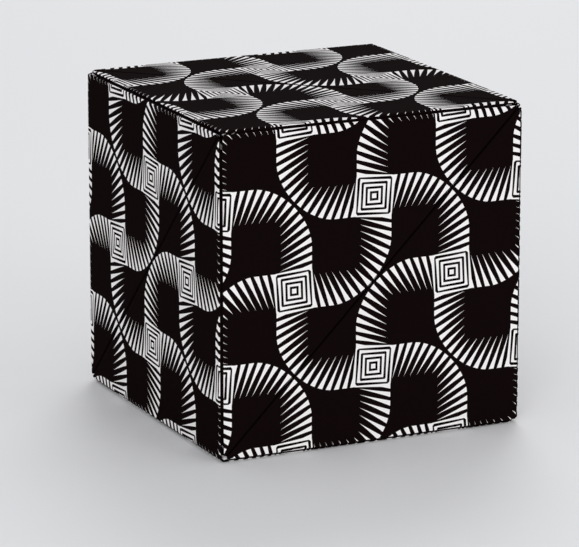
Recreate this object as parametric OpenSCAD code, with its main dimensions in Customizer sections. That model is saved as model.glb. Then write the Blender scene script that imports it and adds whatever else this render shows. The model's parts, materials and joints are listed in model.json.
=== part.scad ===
// Magnetic shape-shifting cube. Twelve equal hollow cells form a closed ring that folds
// into a cube. Each cell is a tetrahedron with one right-angled outer face and its apex at
// the cube's centre. Strips of film hinge the cells along the cube's twelve edges, and the
// faces' diagonals stay open as slits. Three disc magnets sit in each cell, one behind
// each inner wall.

/* [Cube] */
// Length of the folded cube's side
cube_side = 60; // [50:1:90]
// Gap between the facing inner walls of two cells
cell_gap = 0.3; // [0.2:0.05:0.6]
// Width of the bevel beside each hinged edge
edge_bevel = 1.1; // [0.8:0.1:2.4]
// Depth of the bevel on the slits and the inner edges
slit_bevel = 0.3; // [0.2:0.05:0.8]
// Depth cut from each cube corner
corner_bevel = 1.4; // [1:0.1:2.5]
// Depth cut from the apex at the cube's centre
apex_bevel = 2.5; // [1.5:0.1:4]

/* [Cell] */
// Thickness of the printed film that wraps a cell
skin_thick = 0.4; // [0.3:0.05:0.6]
// Thickness of the tray's three walls
tray_wall = 1.2; // [0.8:0.1:1.6]
// Thickness of the cover plate
cover_thick = 1.4; // [1:0.1:2]
// Depth of the cover's locating lip
lip_depth = 1.6; // [1:0.1:2.4]
// Thickness of the cover's locating lip
lip_wall = 0.9; // [0.6:0.1:1.4]
// Clearance between fitted pieces of one cell
fit = 0.05; // [0.02:0.01:0.12]

/* [Magnets] */
// Diameter of a disc magnet
magnet_d = 8; // [6:0.5:10]
// Thickness of a disc magnet
magnet_thick = 2; // [1.5:0.1:2.5]
// Wall of the round socket that holds a magnet
socket_wall = 1; // [0.8:0.1:1.4]

/* [Hinges] */
// Diameter of the film hinge's rolled fold
hinge_d = 0.5; // [0.4:0.05:0.9]
// Depth of the hinge axis below both outer faces
hinge_inset = 0.4; // [0.35:0.05:1]
// Clearance between the fold and the cells beside it
hinge_clear = 0.15; // [0.1:0.05:0.4]
// Distance from the end of a hinge to the cube's corner
hinge_end = 4; // [3:0.5:8]

/* [Hidden] */
$fn = 48;
half = cube_side / 2;
skin_in = skin_thick + fit;        // depth of the tray's and cover's outer surface
tray_in = skin_in + tray_wall;     // depth of the tray's inner surface
seat_z = half - skin_in - cover_thick;
magnet_depth = cell_gap / 2 + tray_in + fit;
socket_height = magnet_thick + 2 * fit;
far = 4 * cube_side;               // larger than anything drawn

// A cell's name, the turn that carries the top face to its own face, and its spin there
CELLS = [
    ["front_upper", [90, 0, 0], 90],
    ["top_front", [0, 0, 0], 180],
    ["left_upper", [0, -90, 0], 0],
    ["rear_upper", [-90, 0, 0], 180],
    ["top_rear", [0, 0, 0], 0],
    ["right_upper", [0, 90, 0], 90],
    ["rear_lower", [-90, 0, 0], 0],
    ["base_rear", [180, 0, 0], 270],
    ["right_lower", [0, 90, 0], 270],
    ["front_lower", [90, 0, 0], 270],
    ["base_front", [180, 0, 0], 90],
    ["left_lower", [0, -90, 0], 180],
];

// A hinge's name and the cube edge it lies on: 0 marks the axis that it runs along
HINGES = [
    ["front_top_hinge", [0, -1, 1]],
    ["top_left_hinge", [-1, 0, 1]],
    ["rear_left_hinge", [-1, 1, 0]],
    ["rear_top_hinge", [0, 1, 1]],
    ["top_right_hinge", [1, 0, 1]],
    ["rear_right_hinge", [1, 1, 0]],
    ["rear_base_hinge", [0, 1, -1]],
    ["base_right_hinge", [1, 0, -1]],
    ["front_right_hinge", [1, -1, 0]],
    ["front_base_hinge", [0, -1, -1]],
    ["base_left_hinge", [-1, 0, -1]],
    ["front_left_hinge", [-1, -1, 0]],
];

PIECES = ["skin", "tray", "cover", "magnets"];

// A plane is [outward normal, distance from the cube's centre]. The cell is drawn behind
// the cube's top face, with its right angle at the +X +Y corner.
function unit(v) = v / norm(v);
function outer_plane(inset) = [[0, 0, 1], half - inset];
function wall_planes(inset) = [
    for (n = [[0, 1, -1], [1, 0, -1], [-1, -1, 0]]) [unit(n), -cell_gap / 2 - inset]
];
// The plane that cuts the edge between planes p and q to the given depth
function bevel(p, q, depth) = [
    unit(p[0] + q[0]),
    (p[1] + q[1]) / norm(p[0] + q[0]) - depth
];
// Beside a hinged edge: a bevel at 22.5 degrees, and a nose that clears the rolled fold
function hinge_planes(inset) = [
    for (side = [[0, 1], [1, 0]])
        let (s = sin(22.5), c = cos(22.5))
            each [
                [
                    [side.x * s, side.y * s, c],
                    s * (half - edge_bevel) + c * half - inset
                ],
                [
                    [side.x * c, side.y * c, s],
                    (c + s) * (half - hinge_inset) - hinge_d / 2 - hinge_clear - inset
                ]
            ]
];
function corner_planes(inset) = concat(
    [for (n = [[1, 1, 1], [-1, 1, 1], [1, -1, 1]])
        [unit(n), norm(n) * half - corner_bevel - inset]],
    [[unit([-1, -1, -3]), -apex_bevel - inset]]
);
function cell_planes(inset) =
    let (top = outer_plane(inset), walls = wall_planes(inset))
        concat(
            [top], walls,
            [bevel(top, walls[2], slit_bevel)],
            [for (i = [0:2]) bevel(walls[i], walls[(i + 1) % 3], slit_bevel)],
            hinge_planes(inset), corner_planes(inset)
        );

// Everything behind a plane
module half_space(plane) {
    n = plane[0];
    rotate([0, acos(n.z), atan2(n.y, n.x)])
        translate([-far, -far, plane[1] - 2 * far])
            cube(2 * far);
}

// The solid cell, with every face moved inwards by inset
module cell_solid(inset) {
    planes = cell_planes(inset);
    intersection() {
        half_space(planes[0]);
        for_each_plane(planes);
    }
}

// The overlap of all half spaces but the first
module for_each_plane(planes) {
    intersection_for (i = [1 : len(planes) - 1]) half_space(planes[i]);
}

// Places children at the middle of each inner wall, +Z pointing into the cell
module on_walls() {
    m = 2 / 3 * half;
    translate([0, m, m]) rotate([45, 0, 0]) children();
    translate([m, 0, m]) rotate([0, -45, 0]) children();
    translate([0, 0, m]) rotate([0, 90, 45]) children();
}

// Carries the drawn cell to its own place in the cube
module place(cell) {
    translate([0, 0, half]) rotate(cell[1]) rotate([0, 0, cell[2]]) children();
}

// Printed film that wraps the whole cell
module skin(cell) {
    color("#1c1315") place(cell) difference() {
        cell_solid(0);
        cell_solid(skin_thick);
    }
}

// Moulded tray: the three inner walls, with a round socket for a magnet on each
module tray(cell) {
    color("#2b2b2e") place(cell) {
        difference() {
            cell_solid(skin_in);
            for_each_plane(cell_planes(tray_in));
            translate([-far, -far, seat_z]) cube(2 * far);
        }
        on_walls() difference() {
            translate([0, 0, magnet_depth - 2 * fit])
                cylinder(h = socket_height + 2 * fit, d = magnet_d + 2 * (fit + socket_wall));
            translate([0, 0, magnet_depth - 3 * fit])
                cylinder(h = socket_height + 4 * fit, d = magnet_d + 2 * fit);
        }
    }
}

// Room that the cover's lip leaves round each magnet socket
module socket_room() {
    on_walls() translate([0, 0, magnet_depth - 3 * fit])
        cylinder(h = socket_height + 5 * fit, d = magnet_d + 2 * socket_wall + 4 * fit);
}

// Cover plate that closes the tray at the outer face, with a lip that locates it
module cover(cell) {
    lip_in = tray_in + fit;
    color("#36363a") place(cell) {
        intersection() {
            cell_solid(skin_in);
            translate([-far, -far, seat_z]) cube(2 * far);
        }
        difference() {
            intersection() {
                for_each_plane(cell_planes(lip_in));
                translate([-far, -far, seat_z - lip_depth])
                    cube([2 * far, 2 * far, lip_depth + cover_thick / 2]);
            }
            intersection_for (plane = wall_planes(lip_in + lip_wall)) half_space(plane);
            socket_room();
        }
    }
}

// Three disc magnets, one in each socket
module magnets(cell) {
    color("silver") place(cell) on_walls()
        translate([0, 0, magnet_depth])
            cylinder(h = magnet_thick, d = magnet_d);
}

// Rolled fold of the film that joins two cells along a cube edge
module film_hinge(hinge) {
    edge = hinge[1];
    turn = edge.x == 0 ? [0, 90, 0] : edge.y == 0 ? [90, 0, 0] : [0, 0, 0];
    color("#0c0a0b") translate([0, 0, half])
        translate((half - hinge_inset) * edge)
            rotate(turn)
                cylinder(h = cube_side - 2 * hinge_end, d = hinge_d, center = true);
}

for (cell = CELLS) {
    skin(cell);
    tray(cell);
    cover(cell);
    magnets(cell);
}
for (hinge = HINGES) {
    film_hinge(hinge);
}
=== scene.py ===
# %% [markdown]
# # A shape-shifting magnetic cube
# Twelve hollow cells with magnets inside are joined by film hinges along the cube's
# twelve edges. The hinges make one ring, so the cube unfolds and closes again in other
# shapes. A black and white spiral print covers every cell.
#
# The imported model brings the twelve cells' trays, covers and magnets, which stay as they
# are. This script makes what shows: the printed film round each cell, the creased film
# on each hinge, the finishes, the light and the camera.

# %% Load the fixed frame
import json
import math

import bmesh
import bpy
from mathutils import Matrix, Vector

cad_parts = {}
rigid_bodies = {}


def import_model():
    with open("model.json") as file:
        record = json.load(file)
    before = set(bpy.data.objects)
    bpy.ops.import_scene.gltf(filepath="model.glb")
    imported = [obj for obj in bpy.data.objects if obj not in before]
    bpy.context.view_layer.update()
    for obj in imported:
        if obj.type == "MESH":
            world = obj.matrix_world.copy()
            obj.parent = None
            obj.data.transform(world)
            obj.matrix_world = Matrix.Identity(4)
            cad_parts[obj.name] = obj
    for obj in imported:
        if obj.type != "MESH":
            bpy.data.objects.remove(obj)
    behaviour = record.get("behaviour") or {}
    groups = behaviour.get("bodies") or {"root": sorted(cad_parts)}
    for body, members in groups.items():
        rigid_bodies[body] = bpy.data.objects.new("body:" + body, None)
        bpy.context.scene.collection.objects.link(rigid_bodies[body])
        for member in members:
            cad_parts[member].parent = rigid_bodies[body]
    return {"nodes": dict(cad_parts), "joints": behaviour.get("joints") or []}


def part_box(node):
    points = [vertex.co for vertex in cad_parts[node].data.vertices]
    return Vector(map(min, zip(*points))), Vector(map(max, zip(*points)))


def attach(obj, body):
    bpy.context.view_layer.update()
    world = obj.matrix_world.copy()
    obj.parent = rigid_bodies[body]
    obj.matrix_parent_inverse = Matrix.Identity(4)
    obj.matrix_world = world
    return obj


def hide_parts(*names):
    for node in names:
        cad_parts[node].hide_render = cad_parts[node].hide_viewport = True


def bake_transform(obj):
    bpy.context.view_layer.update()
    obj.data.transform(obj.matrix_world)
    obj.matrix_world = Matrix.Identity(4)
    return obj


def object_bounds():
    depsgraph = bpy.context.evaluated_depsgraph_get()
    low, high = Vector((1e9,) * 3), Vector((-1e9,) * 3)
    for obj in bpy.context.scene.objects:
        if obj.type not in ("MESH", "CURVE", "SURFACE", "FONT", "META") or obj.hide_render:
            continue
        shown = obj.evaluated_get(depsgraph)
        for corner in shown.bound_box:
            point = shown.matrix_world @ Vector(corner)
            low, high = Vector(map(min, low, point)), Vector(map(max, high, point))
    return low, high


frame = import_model()
cad_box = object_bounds()
MM = 0.001
HALF = (cad_box[1][0] - cad_box[0][0]) / 2
CENTRE = Vector((0, 0, cad_box[0][2] + HALF))

# %% [markdown]
# ## Camera
# A long lens stands a little to the left of the front and slightly above the cube. From
# that far the cube's parallel edges hardly converge, so the faces read as flat printed
# panels. A long lens and a far camera were chosen together, because a near camera with a
# short lens would frame the cube the same way but splay its sides.

# %% Place the camera
AZIMUTH, ELEVATION = math.radians(-25.5), math.radians(14.6)
CAMERA_DISTANCE = 0.7195
LENS_MM = 242.0
AIM = Vector((-0.0022, 0.0002, 0.0246))

toward_camera = Vector((
    math.sin(AZIMUTH) * math.cos(ELEVATION),
    -math.cos(AZIMUTH) * math.cos(ELEVATION),
    math.sin(ELEVATION),
))
camera_data = bpy.data.cameras.new("camera")
camera_data.lens = LENS_MM
camera_data.clip_start = 0.01
camera_data.clip_end = 20
camera = bpy.data.objects.new("camera", camera_data)
bpy.context.scene.collection.objects.link(camera)
camera.location = AIM + toward_camera * CAMERA_DISTANCE
camera.rotation_euler = toward_camera.to_track_quat("Z", "Y").to_euler()
bpy.context.scene.camera = camera
print("camera at", [round(c, 3) for c in camera.location])

# %% [markdown]
# ## Node helpers
# Shader maths is easier to read as ordinary expressions. A small class wraps a node's
# output and overloads the operators, so that an expression on values adds its Math
# nodes. Every other node comes from one function, which sets the node's settings first
# and then the values or links of its sockets.

# %% Write shader maths as expressions
def put(tree, socket, value):
    """Links a value to a socket, or writes a plain number or colour into it."""
    if isinstance(value, Value):
        tree.links.new(value.socket, socket)
    elif isinstance(value, bpy.types.NodeSocket):
        tree.links.new(value, socket)
    else:
        socket.default_value = value


class Value:
    """One number that varies over the surface."""

    def __init__(self, tree, socket):
        self.tree, self.socket = tree, socket

    def math(self, operation, *others, first=None):
        maths = self.tree.nodes.new("ShaderNodeMath")
        maths.operation = operation
        operands = [self, *others] if first is None else [first, self]
        for socket, operand in zip(maths.inputs, operands):
            put(self.tree, socket, operand)
        return Value(self.tree, maths.outputs[0])

    def __add__(self, other): return self.math("ADD", other)
    __radd__ = __add__
    def __sub__(self, other): return self.math("SUBTRACT", other)
    def __rsub__(self, other): return self.math("SUBTRACT", first=other)
    def __mul__(self, other): return self.math("MULTIPLY", other)
    __rmul__ = __mul__
    def __truediv__(self, other): return self.math("DIVIDE", other)
    def __rtruediv__(self, other): return self.math("DIVIDE", first=other)
    def __pow__(self, other): return self.math("POWER", other)
    def __abs__(self): return self.math("ABSOLUTE")
    def __lt__(self, other): return self.math("LESS_THAN", other)
    def __gt__(self, other): return self.math("GREATER_THAN", other)
    def __floor__(self): return self.math("FLOOR")
    def __ceil__(self): return self.math("CEIL")


def add_node(tree, kind, settings=None, **inputs):
    """A node of any kind: its settings first, then its sockets by name."""
    made = tree.nodes.new(kind)
    for key, value in (settings or {}).items():
        setattr(made, key, value)
    for name, value in inputs.items():
        put(tree, made.inputs[name.replace("_", " ")], value)
    return made


def pick(mask, chosen, other):
    """The chosen value where the mask is 1, and the other where it is 0."""
    return other + mask * (chosen - other)


def new_material(name):
    material = bpy.data.materials.new(name)
    material.use_nodes = True
    tree = material.node_tree
    tree.nodes.clear()
    surface = tree.nodes.new("ShaderNodeBsdfPrincipled")
    output = tree.nodes.new("ShaderNodeOutputMaterial")
    tree.links.new(surface.outputs[0], output.inputs["Surface"])
    return material, tree, surface


def noise(tree, where, scale, detail=3.0):
    made = add_node(tree, "ShaderNodeTexNoise", Vector=where, Scale=scale, Detail=detail)
    return Value(tree, made.outputs[0])


def bumped(tree, surface, height, strength, distance):
    bump = add_node(tree, "ShaderNodeBump", Strength=strength, Distance=distance,
                    Height=height)
    tree.links.new(bump.outputs[0], surface.inputs["Normal"])


# %% [markdown]
# ## The spiral print
# The print is a grid of squares and bands, with a step of about a quarter of a face.
# Where the two grid numbers add up to an odd number there is a nest of square rings.
# Every grid cell has a plain dark middle, with a half ring of white wedges round it that
# joins two nests of rings. The wedges fan out from the opposite corner of the cell.
#
# The pattern could be painted as a picture, but a formula stays sharp at any size and
# wraps over the edges. It reads the film's own UV map, in grid steps, which is made
# below by unrolling each cell's film. The grid repeats every two steps, so a cell is
# mirrored by the evenness of its row and column, and one half ring serves all of them.
# A thin black band of painted shade runs along each crease, where the film turns down into
# the groove between two cells.
# It reads how far the film has turned over the edge, which the meshes carry as an
# attribute: 0 on the outer face, 1 on the inner wall.

# %% The print's sizes, in grid steps
RING_OUTER = 0.72
RING_ROUNDNESS = 1.75
RING_INNER = 0.325
INNER_SQUARENESS = 8.0
WEDGE_PERIOD = math.radians(4.36)
WEDGE_SHARE = 0.58
NEST_HALF = 0.247
NEST_RINGS = 9
NEST_TWIST = math.radians(6.5)
# The painted shade deep in each crease, a black band, in shares of the film's turn over
# the edge
CREASE_SHADE_BAND = (0.5, 0.97)
INK_BLACK = (0.0060, 0.0031, 0.0032, 1)
INK_WHITE = (0.92, 0.895, 0.885, 1)


# %% Half rings of wedges
def odd(number):
    """1 where a whole number is odd and 0 where it is even."""
    return number - 2 * math.floor(number / 2)


def ring_reach(x, y, roundness):
    """How far out a place is, on rings that run straight on past the middle lines."""
    x, y = x.math("MAXIMUM", 0.0), y.math("MAXIMUM", 0.0)
    return (x ** roundness + y ** roundness) ** (1 / roundness)


def wedges(u, v):
    """White wedges, for grid coordinates u to the right and v downwards."""
    column, row = math.floor(u), math.floor(v)
    # Mirrored so that the wrapped corner is at the upper end of both axes
    across = (2 * odd(row) - 1) * (u - column - 0.5)
    along = (2 * odd(column) - 1) * (v - row - 0.5)
    # Two neighbours' half rings bulge into this cell from its other two sides
    from_side = ring_reach(across + 1, 0 - along, RING_ROUNDNESS) < RING_OUTER
    from_end = ring_reach(0 - across, along + 1, RING_ROUNDNESS) < RING_OUTER
    x = pick(from_side, across + 1, pick(from_end, 0 - across, across))
    y = pick(from_side, 0 - along, pick(from_end, along + 1, along))
    # Past the cell's middle lines the ring runs straight on into its two nests
    reach = ring_reach(x, y, RING_ROUNDNESS)
    inner_reach = reach * RING_INNER / ring_reach(x, y, INNER_SQUARENESS)
    widening = (reach - inner_reach) / (RING_OUTER - inner_reach)
    turn = ((y + 0.5).math("ARCTAN2", x + 0.5) - math.radians(45)) / WEDGE_PERIOD
    from_middle = abs(turn - math.floor(turn) - 0.5) * 2
    in_ring = (reach < RING_OUTER) * (x + y > 0)
    return in_ring * (from_middle < widening * WEDGE_SHARE)


# %% Nests of square rings
def nest(u, v):
    """The mask of the nests, and the white in them."""
    column, row = math.floor(u + 0.5), math.floor(v + 0.5)
    x, y = u - column, v - row
    lean = 1 - 2 * odd(column)

    inner = abs(x).math("MAXIMUM", abs(y)) / NEST_HALF
    # The outer rings are turned the most, which makes the white frames uneven
    twist = lean * inner * NEST_TWIST
    outer = abs(x + twist * y).math("MAXIMUM", abs(y - twist * x)) / NEST_HALF
    inner = (outer + inner) / 2
    covers = (outer < 1) * odd(column + row)
    entered = math.ceil((1 - outer) * (NEST_RINGS / 2))
    left = math.ceil((1 - 1 / NEST_RINGS - inner) * (NEST_RINGS / 2))
    return covers, covers * (entered - left > 0.5)


# %% [markdown]
# ## The printed film's finish
# The film is a satin laminate: warm near-black ink on a white base, a faint orange peel
# from the moulding under it, and a gloss that changes a little from place to place.
# Ink and bare film differ slightly in gloss, so the print shows in a reflection too.

# %% Make the printed film's material
# The ink takes nearly all the shine off the film, so it reflects far less than plastic
FILM_IOR = 1.02
MOTTLE_SCALE, MOTTLE_GLOSS = 90.0, 0.08
BARE_FILM_GLOSS = 0.06
PEEL_SCALE, PEEL_STRENGTH, PEEL_HEIGHT = 700.0, 0.12, 0.2 * MM


def printed_film(name, roughness):
    material, tree, surface = new_material(name)
    uv = tree.nodes.new("ShaderNodeUVMap")
    uv.uv_map = "print"
    parts = add_node(tree, "ShaderNodeSeparateXYZ", Vector=uv.outputs[0])
    u, v = (Value(tree, parts.outputs[i]) for i in (0, 1))
    covers, rings = nest(u, v)
    crease = add_node(tree, "ShaderNodeAttribute", {"attribute_name": "crease"})
    turned = Value(tree, crease.outputs["Fac"])
    # Painted shade: the film is painted black where it has turned deep into the groove
    # between two cells
    painted_crease_shade = (turned > CREASE_SHADE_BAND[0]) * (turned < CREASE_SHADE_BAND[1])
    white = pick(covers, rings, wedges(u, v)) * (1 - painted_crease_shade)
    place = tree.nodes.new("ShaderNodeTexCoord").outputs["Object"]
    mottle = noise(tree, place, MOTTLE_SCALE)
    ink = add_node(tree, "ShaderNodeMix", {"data_type": "RGBA"})
    put(tree, ink.inputs[0], white)
    put(tree, ink.inputs[6], INK_BLACK)
    put(tree, ink.inputs[7], INK_WHITE)
    tree.links.new(ink.outputs[2], surface.inputs["Base Color"])
    put(tree, surface.inputs["Roughness"],
        roughness + mottle * MOTTLE_GLOSS + white * BARE_FILM_GLOSS)
    surface.inputs["IOR"].default_value = FILM_IOR
    peel = noise(tree, place, PEEL_SCALE, detail=2.0)
    bumped(tree, surface, peel, PEEL_STRENGTH, PEEL_HEIGHT)
    return material


film = printed_film("printed film", 0.5)
creased_film = printed_film("creased film", 0.54)

# %% [markdown]
# ## Plastic and magnets
# Inside each cell a moulded tray and a glued cover carry three disc magnets. They are
# out of sight, but a maker who opens a cell still finds the right finish on each: a fine
# spark-eroded grain on the mouldings and bright nickel on the magnets.

# %% Make the hidden finishes
TINT_SPREAD = 0.15
GRAIN_STRENGTH, GRAIN_HEIGHT = 0.2, 0.1 * MM
NICKEL = (0.72, 0.72, 0.74, 1)
SCUFF_SCALE, SCUFF_STRENGTH, SCUFF_HEIGHT = 400.0, 0.08, 0.05 * MM


def moulded_plastic(name, tint, grain):
    material, tree, surface = new_material(name)
    place = tree.nodes.new("ShaderNodeTexCoord").outputs["Object"]
    speckle = noise(tree, place, grain)
    shade = add_node(tree, "ShaderNodeMix", {"data_type": "RGBA"})
    put(tree, shade.inputs[0], speckle)
    put(tree, shade.inputs[6], (*[c * (1 - TINT_SPREAD) for c in tint], 1))
    put(tree, shade.inputs[7], (*[c * (1 + TINT_SPREAD) for c in tint], 1))
    tree.links.new(shade.outputs[2], surface.inputs["Base Color"])
    put(tree, surface.inputs["Roughness"], 0.5 + speckle * 0.15)
    bumped(tree, surface, speckle, GRAIN_STRENGTH, GRAIN_HEIGHT)
    return material


def nickel_plate():
    material, tree, surface = new_material("nickel plate")
    place = tree.nodes.new("ShaderNodeTexCoord").outputs["Object"]
    scuffs = noise(tree, place, SCUFF_SCALE, detail=5.0)
    surface.inputs["Base Color"].default_value = NICKEL
    surface.inputs["Metallic"].default_value = 1
    put(tree, surface.inputs["Roughness"], 0.14 + scuffs * 0.12)
    bumped(tree, surface, scuffs, SCUFF_STRENGTH, SCUFF_HEIGHT)
    return material


FINISHES = {
    "tray": moulded_plastic("tray plastic", (0.03, 0.03, 0.032), 900.0),
    "cover": moulded_plastic("cover plastic", (0.045, 0.045, 0.048), 1200.0),
    "magnets": nickel_plate(),
}
for node_name, node in frame["nodes"].items():
    piece = node_name.rsplit("_", 1)[1]
    if piece in FINISHES:
        node.data.materials.clear()
        node.data.materials.append(FINISHES[piece])
print("finishes on hidden pieces:", sorted(FINISHES))

# %% [markdown]
# ## The shape of one cell
# All twelve cells are the same tetrahedron: a right-angled triangle, half of a cube
# face, with its apex at the cube's centre. The film rounds every edge. It wraps the two
# hinged edges in a soft nose and the long slit edge more tightly.
#
# A bevel modifier would need a different width on every edge and leaves odd corners
# here. Balls rolled into the corners give the shape exactly: the tight skin round a set
# of balls has flat faces, round edges and round corners. Each ball's points are spread
# over the arcs between its faces' directions, so that every edge is a true cylinder.
# The cell is drawn behind the cube's top face, with its right angle at +X +Y.

# %% Find the balls of one cell
CELL_GAP = 0.3 * MM
NOSE = 0.3 * MM
TIGHT = 0.25 * MM
ARC_STEPS = 10
UP = Vector((0, 0, 1))
WALLS = [Vector(n).normalized() for n in ((0, 1, -1), (1, 0, -1), (-1, -1, 0))]
# In the top face's plane, straight out across each of its three edges
OUTWARDS = [Vector(n).normalized() for n in ((0, 1, 0), (1, 0, 0), (-1, -1, 0))]


def meeting_point(planes):
    """The point where three planes meet, each a normal and a distance."""
    rows = Matrix([n for n, _ in planes])
    return rows.inverted() @ Vector([d for _, d in planes])


def inside(normal, radius):
    """A face's plane, moved in by a ball's radius."""
    return normal, (HALF if normal is UP else -CELL_GAP / 2) - radius


def ball(normals, radius, planes=None):
    return meeting_point(planes or [inside(n, radius) for n in normals]), radius, normals


corner_balls = [
    ball((UP, WALLS[0], WALLS[1]), NOSE),
    ball((UP, WALLS[0], WALLS[2]), NOSE),
    ball((UP, WALLS[1], WALLS[2]), NOSE),
    ball((WALLS[0], WALLS[1], WALLS[2]), NOSE),
]
nose_line = corner_balls[0][0].y
slit_balls = [
    ball((UP, WALLS[side], WALLS[2]), TIGHT,
         [inside(UP, TIGHT), inside(WALLS[2], TIGHT), (OUTWARDS[side], nose_line)])
    for side in (0, 1)
]
print("nose starts", round((HALF - nose_line) / MM, 2), "mm from the cube's edge")


# %% Spread points over the balls and draw the skin round them
def spread(normals):
    """Directions over the patch between three normals, each arc in equal shares."""
    for i in range(ARC_STEPS + 1):
        for j in range(ARC_STEPS + 1 - i):
            k = ARC_STEPS - i - j
            yield (normals[0] * i + normals[1] * j + normals[2] * k).normalized()


skin_points = [
    (centre + radius * direction, centre, radius, direction)
    for centre, radius, normals in corner_balls + slit_balls
    for direction in spread(normals)
]


def tight_skin(points):
    """The convex hull of the points, with its flat faces whole."""
    work = bmesh.new()
    for spot, *_ in points:
        work.verts.new(spot)
    source = work.verts.layers.int.new("source")
    work.verts.ensure_lookup_table()
    for index, vertex in enumerate(work.verts):
        vertex[source] = index
    hull = bmesh.ops.convex_hull(work, input=work.verts)
    spare = {g for key in ("geom_interior", "geom_unused") for g in hull[key]
             if isinstance(g, bmesh.types.BMVert)}
    bmesh.ops.delete(work, geom=list(spare), context="VERTS")
    bmesh.ops.dissolve_limit(work, angle_limit=math.radians(0.2),
                             verts=work.verts, edges=work.edges)
    bmesh.ops.recalc_face_normals(work, faces=work.faces)
    return work, source


# %% [markdown]
# ## Unrolling the film
# The print has to run over the rounded edges without a jump, as it does on film that
# was printed flat and then wrapped. So the UV map isn't a projection: it unrolls the
# film. From the flat outer face, a point on a rounded edge moves on by its arc length,
# and a point on an inner wall by its distance along the wall. Each cell's outer face is
# then laid into the grid by the two directions of its cube face.

# %% Unroll a point of the film into the plane of the outer face
HINGED_SIDES = (0, 1)


def side_of(normal):
    """Which of the three edges a facet of the film unrolls over."""
    return max(range(3), key=lambda side: normal.dot(WALLS[side]))


def turn_over(side, direction):
    """How far the film has turned over an edge, and how far it turns in all."""
    outwards, wall = OUTWARDS[side], WALLS[side]
    bend = math.atan2(wall.dot(outwards), wall.dot(UP))
    turn = math.atan2(direction.dot(outwards), direction.dot(UP))
    return min(max(turn, 0.0), bend), bend


def unroll(side, centre, radius, direction):
    outwards, wall = OUTWARDS[side], WALLS[side]
    edge_ball = (corner_balls[side] if side in HINGED_SIDES else slit_balls[0])[0]
    edge_way = UP.cross(outwards)
    turn, bend = turn_over(side, direction)
    down_wall = (wall * wall.dot(UP) - UP).normalized()
    offset = centre - edge_ball
    further = offset.dot(outwards) if turn < bend / 2 else offset.dot(down_wall)
    across = edge_ball.dot(outwards) + radius * turn + further
    along = (centre + radius * direction).dot(edge_way)
    return outwards * across + edge_way * along


def turned_share(side, direction):
    """How far the film has turned over a hinged edge: 0 outside, 1 on the inner wall."""
    turn, bend = turn_over(side, direction)
    return turn / bend if side in HINGED_SIDES else 0.0


# %% Where each cell sits: its turn from the top face, its spin there, its print grid
QUARTER = math.radians(90)
TURNS = {
    "front": (Matrix.Rotation(QUARTER, 4, "X"), Vector((1, 0, 0)), Vector((0, 0, -1))),
    "top": (Matrix.Identity(4), Vector((1, 0, 0)), Vector((0, -1, 0))),
    "left": (Matrix.Rotation(-QUARTER, 4, "Y"), Vector((0, -1, 0)), Vector((0, 0, -1))),
    "rear": (Matrix.Rotation(-QUARTER, 4, "X"), Vector((-1, 0, 0)), Vector((0, 0, -1))),
    "right": (Matrix.Rotation(QUARTER, 4, "Y"), Vector((0, 1, 0)), Vector((0, 0, -1))),
    "base": (Matrix.Rotation(2 * QUARTER, 4, "X"), Vector((1, 0, 0)), Vector((0, 1, 0))),
}
SPINS = {
    "front_upper": 1, "front_lower": 3, "top_front": 2, "top_rear": 0,
    "left_upper": 0, "left_lower": 2, "rear_upper": 2, "rear_lower": 0,
    "right_upper": 1, "right_lower": 3, "base_rear": 3, "base_front": 1,
}
# The print is a little larger than the face, so the outermost nests are cut short
PRINT_SCALE = 1.045
GRID_STEP = HALF / 2 * PRINT_SCALE
# Across the top and base creases the print is mirrored, which is one step further on
GRID_SHIFT = {"top": 1, "base": 1}


def placing(cell):
    turn = TURNS[cell.split("_")[0]][0]
    return turn @ Matrix.Rotation(SPINS[cell] * QUARTER, 4, "Z")


def grid_place(face, spot):
    """A spot relative to the cube's centre, in the print grid of one cube face."""
    _, right, down = TURNS[face]
    shift = GRID_SHIFT.get(face, 0)
    return spot.dot(right) / GRID_STEP + shift, spot.dot(down) / GRID_STEP + shift


# %% [markdown]
# ## Twelve printed films
# The cells differ only in where they sit and which piece of the print they show, so one
# skin is drawn, turned into each place and unrolled there. Each film replaces its
# cell's plain skin and moves with that cell.

# %% Make the films
def new_object(name, mesh, material):
    made = bpy.data.objects.new(name, mesh)
    bpy.context.scene.collection.objects.link(made)
    made.data.materials.clear()
    made.data.materials.append(material)
    return made


for cell in SPINS:
    place = placing(cell)
    face = cell.split("_")[0]
    work, source = tight_skin(skin_points)
    print_map = work.loops.layers.uv.new("print")
    crease = work.loops.layers.float.new("crease")
    for facet in work.faces:
        facet.smooth = True
        side = side_of(facet.normal)
        for loop in facet.loops:
            _, centre, radius, direction = skin_points[loop.vert[source]]
            flat = unroll(side, centre, radius, direction) + UP * HALF
            loop[print_map].uv = grid_place(face, place @ flat)
            loop[crease] = turned_share(side, direction)
    directions = [place.to_3x3() @ skin_points[v[source]][3] for v in work.verts]
    bmesh.ops.transform(work, matrix=Matrix.Translation(CENTRE) @ place,
                        verts=work.verts)
    mesh = bpy.data.meshes.new(f"{cell}_film")
    work.to_mesh(mesh)
    work.free()
    mesh.normals_split_custom_set_from_vertices(directions)
    made = new_object(f"{cell}_film", mesh, film)
    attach(made, f"{cell}_cell")
    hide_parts(f"{cell}_skin")
print("films:", len(SPINS), "with", len(mesh.polygons), "facets each")
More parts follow.
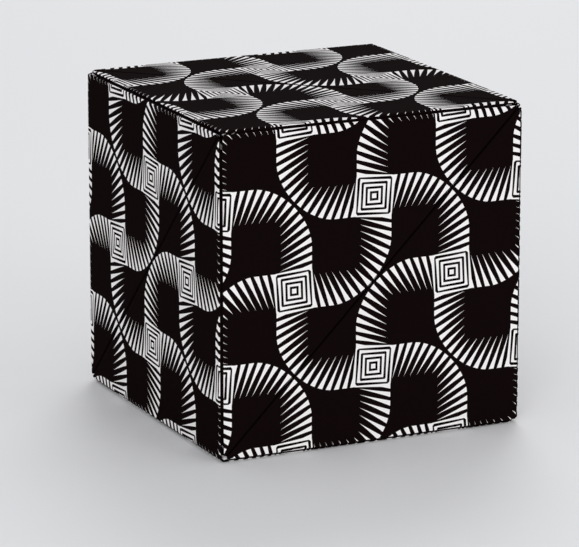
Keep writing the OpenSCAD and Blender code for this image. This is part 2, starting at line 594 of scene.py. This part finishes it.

# %% [markdown]
# ## Creased film on the hinges
# The same film runs from one cell to the next over a cube edge, and its crease is the
# hinge. In section it follows one cell's nose, dips between the two cells and comes up
# over the other nose. That section is the same all along the edge, so Geometry Nodes
# extrude it: the tree takes the section as a face and one length, and closes both ends.

# %% Build the extruding tree
def extruding_tree():
    tree = bpy.data.node_groups.new("creased film", "GeometryNodeTree")
    tree.interface.new_socket("Geometry", in_out="INPUT",
                              socket_type="NodeSocketGeometry")
    length = tree.interface.new_socket("Length", in_out="INPUT",
                                       socket_type="NodeSocketFloat")
    finish = tree.interface.new_socket("Film", in_out="INPUT",
                                       socket_type="NodeSocketMaterial")
    tree.interface.new_socket("Geometry", in_out="OUTPUT",
                              socket_type="NodeSocketGeometry")
    given = tree.nodes.new("NodeGroupInput")
    result = tree.nodes.new("NodeGroupOutput")
    walls = add_node(tree, "GeometryNodeExtrudeMesh", {"mode": "FACES"},
                     Mesh=given.outputs[0], Offset_Scale=given.outputs[1])
    base = add_node(tree, "GeometryNodeFlipFaces", Mesh=given.outputs[0])
    joined = tree.nodes.new("GeometryNodeJoinGeometry")
    tree.links.new(walls.outputs[0], joined.inputs[0])
    tree.links.new(base.outputs[0], joined.inputs[0])
    closed = add_node(tree, "GeometryNodeMergeByDistance",
                      Geometry=joined.outputs[0], Distance=0.001 * MM)
    real = add_node(tree, "GeometryNodeRealizeInstances", Geometry=closed.outputs[0])
    coated = add_node(tree, "GeometryNodeSetMaterial", Geometry=real.outputs[0],
                      Material=given.outputs[2])
    tree.links.new(coated.outputs[0], result.inputs[0])
    return tree, length.identifier, finish.identifier


crease_tree, LENGTH_INPUT, FILM_INPUT = extruding_tree()

# %% Draw the crease's section
FILM_PROUD = 0.04 * MM
FILM_THICK = 0.12 * MM
FILM_FROM, FILM_TO = math.radians(30), math.radians(118)
SECTION_STEPS = 12
DIP_STEPS = 5
FULL_TURN = math.radians(135)
nose_inset = HALF - nose_line


def section_point(turn, reach):
    """A point round one nose: sideways from the middle plane, inwards, the place in the
    print, and how far the film has turned."""
    inwards = nose_inset - reach * math.sin(turn)
    depth = NOSE - reach * math.cos(turn)
    unrolled = nose_line + NOSE * turn
    sideways = (inwards - depth) / math.sqrt(2)
    from_edge = (inwards + depth) / math.sqrt(2)
    return sideways, from_edge, unrolled, turn / FULL_TURN


def section_line(reach):
    """One surface of the film, from one cell's outer face to the other's."""
    turns = [FILM_FROM + (FILM_TO - FILM_FROM) * i / SECTION_STEPS
             for i in range(SECTION_STEPS + 1)]
    near = [section_point(turn, reach) for turn in turns]
    # The dip keeps the deepest turn, so the groove's painted shade covers all of it
    half_width, floor, *printed = near[-1]
    dip = [
        (half_width * math.cos(math.pi * i / (DIP_STEPS + 1)),
         floor + half_width * math.sin(math.pi * i / (DIP_STEPS + 1)), *printed)
        for i in range(1, DIP_STEPS + 1)
    ]
    far = [(-side, *rest) for side, *rest in reversed(near)]
    return near + dip + far


outer_line = section_line(NOSE + FILM_PROUD)
inner_line = section_line(NOSE + FILM_PROUD - FILM_THICK)
section = outer_line + inner_line[::-1]
print("section points:", len(section))


# %% Extrude the section into a plain strip
def extruded_section(name, length):
    """A solid strip along +Z that carries its points' places in the print."""
    flat = bpy.data.meshes.new(name)
    flat.from_pydata([(x, y, 0) for x, y, *_ in section], [],
                     [list(range(len(section)))])
    flat.update()
    if flat.polygons[0].normal.z < 0:
        flat.flip_normals()
    for column, carried in ((2, "unrolled"), (3, "crease")):
        layer = flat.attributes.new(carried, "FLOAT", "POINT")
        layer.data.foreach_set("value", [point[column] for point in section])
    draft = bpy.data.objects.new(f"{name}_draft", flat)
    bpy.context.scene.collection.objects.link(draft)
    extrude = draft.modifiers.new("extrude", "NODES")
    extrude.node_group = crease_tree
    extrude[LENGTH_INPUT] = length
    extrude[FILM_INPUT] = creased_film
    bpy.context.view_layer.update()
    solid = bpy.data.meshes.new_from_object(
        draft.evaluated_get(bpy.context.evaluated_depsgraph_get()))
    solid.name = name
    bpy.data.objects.remove(draft)
    return solid


# %% Print a strip and lay it on its edge
def print_strip(solid, length, sides, lengthways):
    """Unrolls each half from its own cell's outer face, into that face's grid."""
    first, second = sides
    print_map = solid.uv_layers.new(name="print")
    reached = solid.attributes["unrolled"].data
    for loop in solid.loops:
        x, _, z = solid.vertices[loop.vertex_index].co
        cell, other = (first, second) if x >= 0 else (second, first)
        spot = (sides[cell] * HALF + sides[other] * reached[loop.vertex_index].value
                + lengthways * (z - length / 2))
        print_map.data[loop.index].uv = grid_place(cell.split("_")[0], spot)


def creased_strip(name, edge, length, first, second):
    """A strip between two cells, for an edge whose middle is at edge from the centre."""
    inward = -edge.normalized()
    sides = {cell: TURNS[cell.split("_")[0]][0].to_3x3() @ UP
             for cell in (first, second)}
    sideways = (sides[first] - sides[second]).normalized()
    lengthways = sideways.cross(inward)
    solid = extruded_section(name, length)
    print_strip(solid, length, sides, lengthways)
    turn = Matrix((sideways, inward, lengthways)).transposed().to_4x4()
    start = CENTRE + edge - lengthways * (length / 2)
    solid.transform(Matrix.Translation(start) @ turn)
    made = new_object(name, solid, creased_film)
    return made, sideways


# %% [markdown]
# The strip at the rear left names its cells in the other order.

# %% Make the strips
FOLD_BACK = ("rear_left",)
BLEND_HALF = 0.15 * MM
for joint in frame["joints"]:
    hinge = joint["name"].replace("_fold", "")
    cells = [joint[end].replace("_cell", "") for end in ("parent", "child")]
    if hinge in FOLD_BACK:
        cells.reverse()
    low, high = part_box(f"{hinge}_hinge")
    middle = (low + high) / 2 - CENTRE
    edge = Vector([HALF * round(c / HALF) for c in middle])
    strip, sideways = creased_strip(f"{hinge}_crease", edge, max(high - low), *cells)
    axis = CENTRE + middle
    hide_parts(f"{hinge}_hinge")
    axis + sideways * BLEND_HALF
    axis - sideways * BLEND_HALF
    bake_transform(strip)

low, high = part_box("rear_base_hinge")
strip, _ = creased_strip("rear_base_crease", Vector((0, HALF, -HALF)),
                         max(high - low), "rear_lower", "base_rear")
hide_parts("rear_base_hinge")
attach(strip, "rear_lower_cell")

# %% [markdown]
# ## Floor and light
# The cube stands on a plain pale surface in a bright, even studio. A large soft light
# from the left and one from the front keep both near sides clear of hard shadows, and a
# third lights the back. One strong lamp would show the edges better, but it would throw
# a hard shadow and grey the dark ink on one side.

# %% Lay the floor
FLOOR_HALF = 6.0
FLOOR_COLOUR, FLOOR_ROUGHNESS = (0.86, 0.86, 0.87, 1), 0.6
# Just under the base face, so that the two don't lie in one plane
FLOOR_LEVEL = -0.05 * MM
floor_mesh = bpy.data.meshes.new("floor")
floor_mesh.from_pydata(
    [(x * FLOOR_HALF, y * FLOOR_HALF, FLOOR_LEVEL)
     for x, y in ((-1, -1), (1, -1), (1, 1), (-1, 1))], [], [(0, 1, 2, 3)])
floor_material, _, floor_surface = new_material("floor")
floor_surface.inputs["Base Color"].default_value = FLOOR_COLOUR
floor_surface.inputs["Roughness"].default_value = FLOOR_ROUGHNESS
floor = new_object("floor", floor_mesh, floor_material)


# %% Hang the lights
STUDIO_COLOUR, STUDIO_STRENGTH = (0.93, 0.94, 0.96, 1), 0.62


def soft_light(name, place, size, watts):
    data = bpy.data.lights.new(name, "AREA")
    data.shape = "DISK"
    data.size = size
    data.energy = watts
    lamp = bpy.data.objects.new(name, data)
    bpy.context.scene.collection.objects.link(lamp)
    lamp.location = place
    lamp.rotation_euler = (Vector(place) - CENTRE).to_track_quat("Z", "Y").to_euler()


soft_light("key", (-0.8, -1.1, 0.7), size=0.7, watts=5.5)
soft_light("front", (0.5, -1.3, 0.4), size=0.8, watts=3.4)
soft_light("rear", (0.6, 1.0, 1.0), size=0.8, watts=5)
world = bpy.data.worlds.new("studio")
world.use_nodes = True
studio = world.node_tree.nodes["Background"]
studio.inputs["Color"].default_value = STUDIO_COLOUR
studio.inputs["Strength"].default_value = STUDIO_STRENGTH
bpy.context.scene.world = world
bpy.context.scene.view_settings.view_transform = "Standard"
